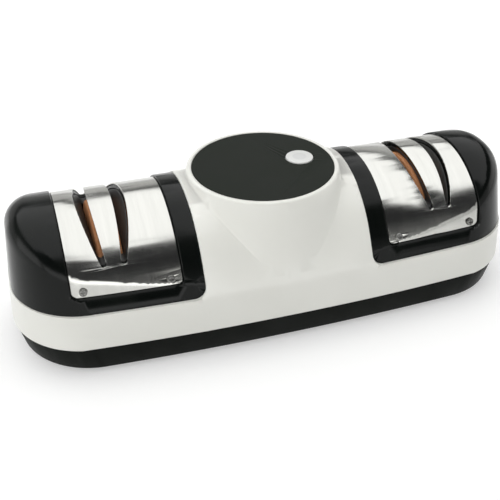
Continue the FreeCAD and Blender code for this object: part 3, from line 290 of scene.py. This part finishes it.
def plated(name, dark, pale, shine, dull, along=(1, 1, 1), line=0.0004, depth=0.000006):
    """Bare or plated metal with fine tool marks; along stretches the marks on each axis."""
    material, place = finish(name, {"Metallic": 1.0})
    marks = place.stretched(*along).noise(1 / line, 3.0)
    stains = place.noise(60.0, 4.0).step(0.3, 0.75)
    drive(material, {
        "Base Color": (stains * 0.6 + marks * 0.4).mix(dark, pale),
        "Roughness": stains * (dull - shine) * 0.5 + marks * (dull - shine) * 0.5 + shine,
        "Normal": marks.bump(depth),
    })
    return material


screw_steel = plated("screw_steel", (0.42, 0.42, 0.42, 1), (0.62, 0.62, 0.61, 1), 0.22, 0.42)
dress(screw_steel, "closing_screws", "guide_screws", "switch_screws", "strap_screws", "bush_cap_screws",
      "button_spring")


# The motor: a zinc plated can between two end bells, with ferrite magnets, carbon brushes in brass
# holders and sintered bushes. Rubber rings and straps hold it on the saddles of the tray.
can_zinc = plated("can_zinc", (0.46, 0.47, 0.49, 1), (0.62, 0.63, 0.64, 1), 0.28, 0.45, (1, 1, 1), 0.0012)
bush_bronze = plated("bush_bronze", (0.42, 0.27, 0.13, 1), (0.62, 0.43, 0.22, 1), 0.35, 0.55)
magnet_ferrite = moulded("magnet_ferrite", (0.045, 0.045, 0.05, 1), (0.09, 0.09, 0.10, 1),
                         0.4, 0.6, 0.0005, 0.00002)
brush_carbon = moulded("brush_carbon", (0.025, 0.025, 0.027, 1), (0.06, 0.06, 0.065, 1),
                       0.45, 0.6, 0.0003, 0.00002)
dress(can_zinc, "motor_can", "motor_end_bells", "motor_straps")
dress(bush_bronze, "motor_bushes", "end_bushes", "brush_holders")
dress(magnet_ferrite, "motor_magnets")
dress(brush_carbon, "carbon_brushes")


# The rotor: a long ground shaft with a stack of steel sheets, enamelled copper coils, a copper
# commutator and a nylon fan, which turn together.
shaft_steel = plated("shaft_steel", (0.50, 0.50, 0.51, 1), (0.66, 0.66, 0.67, 1), 0.16, 0.3,
                     (1, 0.1, 0.1), 0.0003)


def stacked_steel():
    """The edges of punched sheets, half a millimetre each."""
    material, place = finish("core_steel", {"Metallic": 1.0})
    sheets = place.stretched(1, 0.02, 0.02).noise(2000.0, 0.0)
    drive(material, {
        "Base Color": sheets.step(0.35, 0.6).mix((0.10, 0.10, 0.11, 1), (0.36, 0.36, 0.37, 1)),
        "Roughness": sheets * 0.3 + 0.3,
        "Normal": sheets.bump(0.00008),
    })
    return material


def wound_wire():
    """Enamelled wire of half a millimetre, laid side by side along the rotor."""
    material, place = finish("winding_copper", {"Metallic": 1.0, "Coat Weight": 0.6})
    strands = place.node("ShaderNodeTexWave", {"bands_direction": "DIAGONAL"},
                         {"Vector": place, "Scale": 90.0, "Distortion": 3.0, "Detail": 2.0,
                          "Detail Scale": 3.0}, 1)
    drive(material, {
        "Base Color": strands.mix((0.30, 0.11, 0.04, 1), (0.80, 0.42, 0.22, 1)),
        "Roughness": strands * 0.2 + 0.2,
        "Normal": strands.bump(0.0002),
    })
    return material


fan_plastic = moulded("fan_plastic", (0.62, 0.62, 0.58, 1), (0.72, 0.72, 0.68, 1),
                      0.4, 0.55, 0.0008, 0.00002)
dress(shaft_steel, "motor_shaft", "wheel_washers", "wheel_nuts")
dress(stacked_steel(), "armature_core")
dress(wound_wire(), "armature_winding", "commutator")
dress(fan_plastic, "cooling_fan")


# The grinding wheels: orange-brown abrasive bonded with resin, one under the slots of each end,
# clamped on turned aluminium hubs. Grit stands out of the bond and glints a little.
def bonded_grit_painted_light():
    material, place = finish("wheel_abrasive", {"Specular IOR Level": 0.35})
    grit = place.node("ShaderNodeTexVoronoi", {}, {"Vector": place, "Scale": 1600.0})
    clumps = place.noise(140.0, 4.0).step(0.3, 0.7)
    speckle = grit.step(0.1, 0.6)
    # Painted light: both oranges are much lighter than the abrasive itself, to stand in for the light
    # that falls through the slots onto the wheels. The speckle and clumps between them are the real
    # grain.
    drive(material, {
        "Base Color": (speckle * 0.55 + clumps * 0.45).mix((0.96, 0.47, 0.23, 1), (0.72, 0.30, 0.13, 1)),
        "Roughness": speckle * 0.25 + 0.6,
        "Normal": grit.bump(0.00018),
    })
    return material


moulding("left_wheel", "coarse_wheel", 0.0003)
moulding("right_wheel", "fine_wheel", 0.0003)
hub_aluminium = plated("hub_aluminium", (0.60, 0.60, 0.61, 1), (0.76, 0.76, 0.77, 1), 0.25, 0.4,
                       (1, 0.2, 0.2), 0.0004)
dress(bonded_grit_painted_light(), "left_wheel", "right_wheel")
dress(hub_aluminium, "wheel_hubs")


# The blade guides: dark grey inserts under the steel plates, with two leaning channels each that
# hold a blade at its angle against the wheel.
moulding("left_guide", "left_blade_guide", 0.0002)
moulding("right_guide", "right_blade_guide", 0.0002)
guide_grey = moulded("guide_grey", (0.035, 0.035, 0.034, 1), (0.06, 0.06, 0.057, 1),
                     0.45, 0.6, 0.0006, 0.00003)
dress(guide_grey, "left_guide", "right_guide", "bush_caps", "switch_body")


# The switch: a small board on two posts under the turret, with the push switch on it, and the leads
# from the gland in the back wall to the switch and the motor.
def laminate():
    """Paper laminate of the switch board, with the weave of its sheets just showing."""
    material, place = finish("board_brown", {"Roughness": 0.45})
    weave = place.stretched(1, 0.15, 1).noise(1500.0, 2.0)
    drive(material, {
        "Base Color": weave.mix((0.30, 0.17, 0.07, 1), (0.46, 0.30, 0.14, 1)),
        "Normal": weave.bump(0.00002),
    })
    return material


moulding("gland", "cord_gland", 0.0002)
lead_vinyl = moulded("lead_vinyl", (0.10, 0.035, 0.02, 1), (0.16, 0.06, 0.035, 1),
                     0.35, 0.5, 0.0008, 0.00002)
terminal_white = moulded("terminal_white", (0.66, 0.66, 0.62, 1), (0.76, 0.76, 0.72, 1),
                         0.4, 0.5, 0.0006, 0.00002)
dress(laminate(), "switch_board")
dress(lead_vinyl, "leads")
dress(terminal_white, "terminal_block", "switch_plunger")
dress(rubber, "gland")


# The body: one white moulding, a belt all round with the arch and the round turret on it. It is
# satin smooth outside, with the faint waviness of a large moulded wall.
def satin_white():
    material, place = finish("body_white", {"Coat Weight": 0.2, "Coat Roughness": 0.15})
    waves = place.noise(22.0, 2.0)
    etched = place.noise(2600.0, 2.0)
    handling = place.noise(70.0, 4.0).step(0.35, 0.75)
    drive(material, {
        "Base Color": waves.step(0.3, 0.7).mix((0.850, 0.850, 0.795, 1), (0.880, 0.880, 0.828, 1)),
        "Roughness": handling * 0.12 + etched * 0.05 + 0.3,
        "Normal": (waves * 0.9 + etched * 0.1).bump(0.00006),
    })
    return material


moulding("body_moulding", "centre_shell", 0.0003,
         lambda mm: mm.z < 60 and not (abs(mm.x) > 36.5 and 22 < mm.z < 32))
dress(satin_white(), "body_moulding")


# The two end modules: glossy black mouldings that drop into the white body, each with a sunk seat
# for its steel plate. Handling leaves soft patches in the gloss.
def gloss_black():
    material, place = finish("module_black", {"Specular IOR Level": 0.20})
    smears = place.stretched(1, 0.6, 0.35).noise(55.0, 4.0).step(0.4, 0.75)
    waves = place.noise(30.0, 1.0)
    specks = place.noise(3200.0, 1.0)
    drive(material, {
        "Base Color": smears.mix((0.0035, 0.0045, 0.0040, 1), (0.0060, 0.0075, 0.0065, 1)),
        "Roughness": smears * 0.08 + specks * 0.06 + 0.15,
        "Normal": (waves * 0.97 + specks * 0.03).bump(0.00005),
    })
    return material


ARCH_TOP = 0.0652
ARCH_CROWN_R = 0.0420
ARCH_SIDE_R = 0.1200
ARCH_JOIN = math.radians(57)
MODULE_REVEAL = 0.00067
ARCH_NEAR = 0.0003
FACE_ALONG = 0.995
CORNER_ALONG = 0.985


def smooth_arch(piece, inset):
    """Shades an arched piece as the true arcs of its crown and sides, which run along the length."""
    mesh = piece.data
    crown_z = ARCH_TOP - ARCH_CROWN_R
    side_y = (ARCH_CROWN_R - ARCH_SIDE_R) * math.sin(ARCH_JOIN)
    side_z = crown_z + (ARCH_CROWN_R - ARCH_SIDE_R) * math.cos(ARCH_JOIN)

    def outwards(at):
        out = Vector((0, at.y, at.z - crown_z))
        radius = ARCH_CROWN_R - inset
        if abs(out.y) > out.z * math.tan(ARCH_JOIN):
            out = Vector((0, at.y + math.copysign(side_y, at.y), at.z - side_z))
            radius = ARCH_SIDE_R - inset
        return out.normalized(), abs(out.length - radius)

    normals = [Vector(corner.vector) for corner in mesh.corner_normals]
    on_arch = set()
    for face in mesh.polygons:
        out, off = outwards(face.center)
        if off < ARCH_NEAR and out.dot(face.normal) > FACE_ALONG:
            on_arch.update(face.vertices)
    for corner, loop in enumerate(mesh.loops):
        if loop.vertex_index in on_arch:
            out, off = outwards(mesh.vertices[loop.vertex_index].co)
            if out.dot(normals[corner]) > CORNER_ALONG:
                normals[corner] = out
    mesh.normals_split_custom_set(normals)


for side in ("left", "right"):
    shell = moulding(side + "_module", side + "_module_shell", 0.0003,
                     lambda mm: (mm.z > 39 or mm.z < 32) and not 33 < mm.z < 34)
    smooth_arch(shell, MODULE_REVEAL)
dress(gloss_black(), "left_module", "right_module")


# The guard plates: stainless sheet, bent over the arch and ground along its bend, with two blade
# slots each. Small cross-recessed screws hold the corners.
def ground_steel():
    material, place = finish("plate_steel", {"Metallic": 1.0})
    lines = place.stretched(1, 0.012, 0.012).noise(5200.0, 2.0)
    bands = place.stretched(1, 0.05, 0.05).noise(420.0, 3.0)
    marks = place.noise(45.0, 4.0).step(0.35, 0.75)
    drive(material, {
        "Base Color": (lines * 0.5 + bands * 0.5).mix((0.49, 0.49, 0.465, 1), (0.64, 0.64, 0.61, 1)),
        "Roughness": lines * 0.10 + marks * 0.05 + 0.13,
        "Normal": (lines * 0.8 + bands * 0.2).bump(0.000010),
    })
    return material


PLATE_SUNK = 0.00086

for side in ("left", "right"):
    plate = moulding(side + "_plate", side + "_guard_plate", 0.00012)
    smooth_arch(plate, MODULE_REVEAL + PLATE_SUNK)
moulding("plate_screws", "guard_plate_screws", 0.00006)
dress(ground_steel(), "left_plate", "right_plate")
# Painted shade: these screws get a much darker steel than the other screws, to stand in for the shade in
# their cross recesses and around their heads.
painted_shade_screw_steel = plated("painted_shade_screw_steel", (0.14, 0.14, 0.13, 1), (0.34, 0.34, 0.33, 1), 0.2, 0.4)
dress(painted_shade_screw_steel, "plate_screws")


# The top of the turret: a matt black disc set in the white ring, and the round white push button,
# whose middle is worn a little greyer than its rim.
moulding("turret_disc", "top_disc", 0.00025, flat=True)
disc_black = moulded("disc_black", (0.0085, 0.0115, 0.0080, 1), (0.0125, 0.0165, 0.0115, 1),
                     0.40, 0.50, 0.00035, 0.00003, {"Specular IOR Level": 0.10})
dress(disc_black, "turret_disc")

BUTTON_MIDDLE = (0.0180, 0.0014)


def push_white():
    material, place = finish("button_white", {"Coat Weight": 0.2, "Coat Roughness": 0.15})
    offset = place.node("ShaderNodeVectorMath", {"operation": "SUBTRACT"},
                        {0: place, 1: (*BUTTON_MIDDLE, 0)}).stretched(1, 1, 0)
    reach = offset.node("ShaderNodeVectorMath", {"operation": "LENGTH"}, {0: offset}, 1)
    worn = 1 - (reach + place.noise(900.0, 3.0) * 0.0006).step(0.0030, 0.0040)
    etched = place.noise(2200.0, 2.0)
    drive(material, {
        "Base Color": worn.mix((0.74, 0.75, 0.73, 1), (0.66, 0.67, 0.66, 1)),
        "Roughness": worn * 0.12 + 0.28,
        "Normal": etched.bump(0.00001),
    })
    return material


moulding("push_button", "power_button", 0.0004)
dress(push_white(), "push_button")
